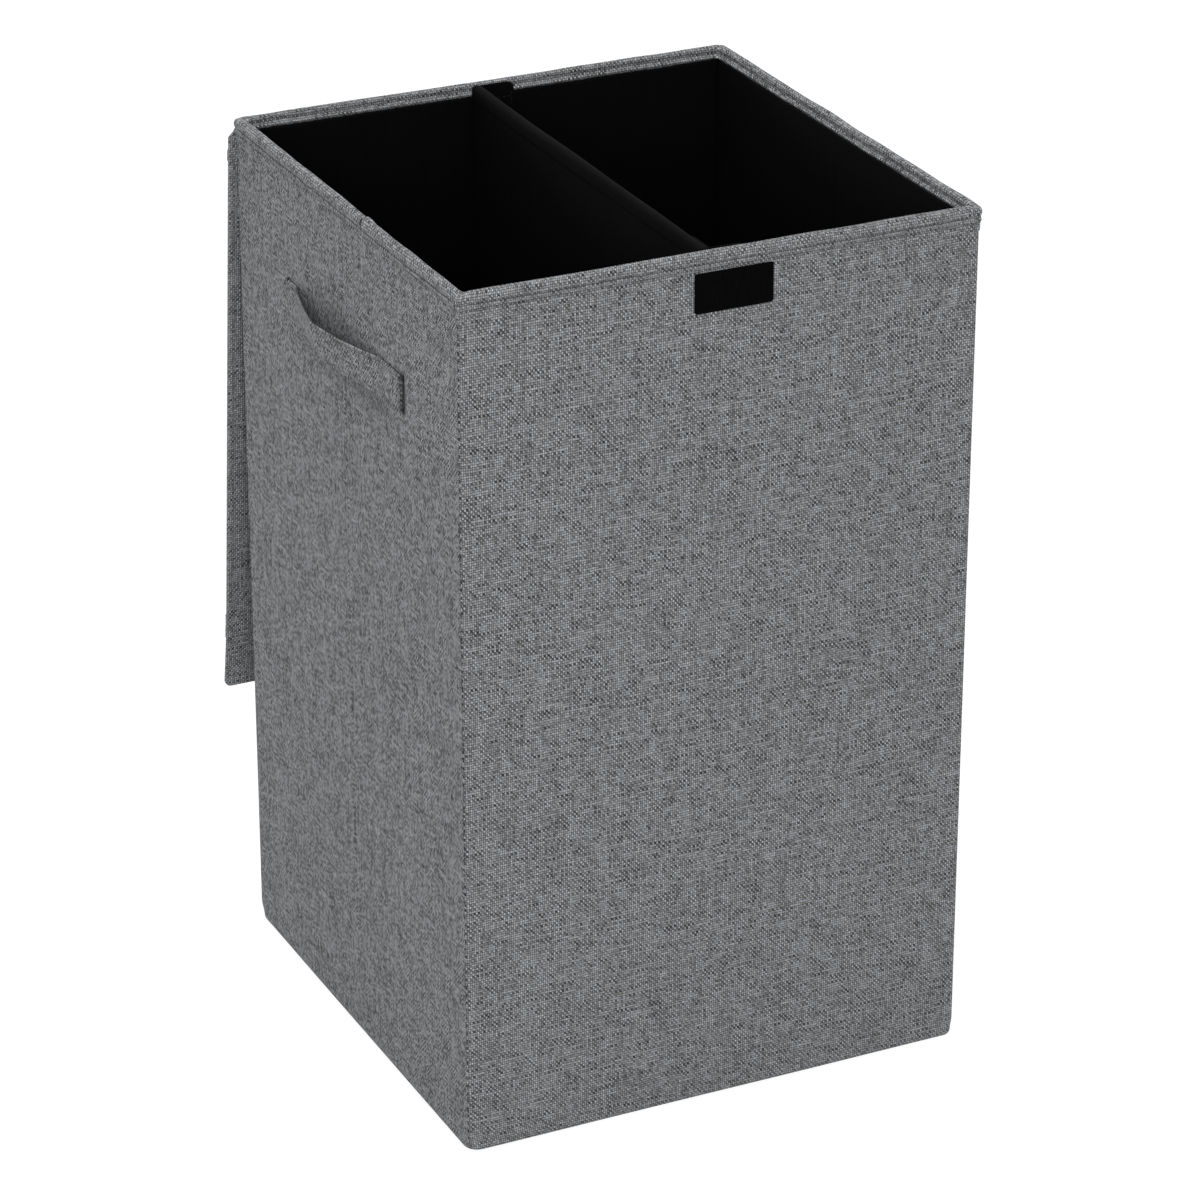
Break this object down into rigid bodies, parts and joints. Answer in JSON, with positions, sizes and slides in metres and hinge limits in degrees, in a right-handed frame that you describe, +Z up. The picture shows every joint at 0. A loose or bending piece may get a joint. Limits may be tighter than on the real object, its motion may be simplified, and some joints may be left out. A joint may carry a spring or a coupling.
{
  "type": "laundry hamper",
  "caption": "Square collapsible laundry hamper in linen-look cloth, with a lift-out divider between its bins, strap handles and a lid on a cloth hinge that hangs behind it.",
  "frame": {"origin": "middle of the bottom panel's underside, on the floor", "axes": "+Z up, -Y out of the front wall with the loop patch, +X to the right as seen from the front; the lid hangs behind the back wall at +Y"},
  "size_m": [0.3882, 0.4094, 0.6],
  "materials": {
    "grey_cloth": "slubby linen-look plain weave, heather grey",
    "black_lining": "matt black bonded lining cloth",
    "hook_and_loop": "black hook and loop tape",
    "greyboard": "uncoated greyboard"
  },
  "bodies": {
    "basket": {"front_cover": "grey_cloth", "back_cover": "grey_cloth", "left_cover": "grey_cloth", "right_cover": "grey_cloth", "bottom_cover": "grey_cloth", "front_board": "greyboard", "back_board": "greyboard", "left_front_board": "greyboard", "left_back_board": "greyboard", "right_front_board": "greyboard", "right_back_board": "greyboard", "front_lining": "black_lining", "back_lining": "black_lining", "left_lining": "black_lining", "right_lining": "black_lining", "bottom_lining": "black_lining", "left_handle": "grey_cloth", "right_handle": "grey_cloth", "front_loop_patch": "hook_and_loop", "front_divider_loop": "hook_and_loop", "back_divider_loop": "hook_and_loop"},
    "base_pad": {"base_board": "greyboard", "base_board_cover": "black_lining"},
    "divider": {"divider_board": "greyboard", "divider_cover": "black_lining", "divider_front_flange": "black_lining", "divider_back_flange": "black_lining", "divider_front_hook": "hook_and_loop", "divider_back_hook": "hook_and_loop"},
    "lid_strip": {"lid_hinge_strip": "grey_cloth"},
    "lid_panel": {"lid_cover": "grey_cloth", "lid_board": "greyboard", "lid_lining": "black_lining"},
    "lid_flap": {"flap_cover": "grey_cloth", "flap_board": "greyboard", "flap_lining": "black_lining", "flap_hook_patch": "hook_and_loop"}
  },
  "joints": [
    {"name": "lid_seam_fold", "type": "hinge", "parent": "basket", "child": "lid_strip", "pos_m": [0, 0.1813, 0.59], "axis": [1, 0, 0], "range_deg": [0, 174.5]},
    {"name": "lid_panel_fold", "type": "hinge", "parent": "lid_strip", "child": "lid_panel", "pos_m": [0, 0.18253, 0.57721], "axis": [1, 0, 0], "range_deg": [0, 90]},
    {"name": "flap_fold", "type": "hinge", "parent": "lid_panel", "child": "lid_flap", "pos_m": [0, 0.21764, 0.2126], "axis": [1, 0, 0], "range_deg": [0, 86]},
    {"name": "base_pad_lift", "type": "slide", "parent": "basket", "child": "base_pad", "axis": [0, 0, 1], "range_m": [0, 0.62]},
    {"name": "divider_lift", "type": "slide", "parent": "base_pad", "child": "divider", "axis": [0, 0, 1], "range_m": [0, 0.62]}
  ],
  "couplings": [
    {"joint": "lid_panel_fold", "follows": "lid_seam_fold", "ratio": 0.5157}
  ]
}
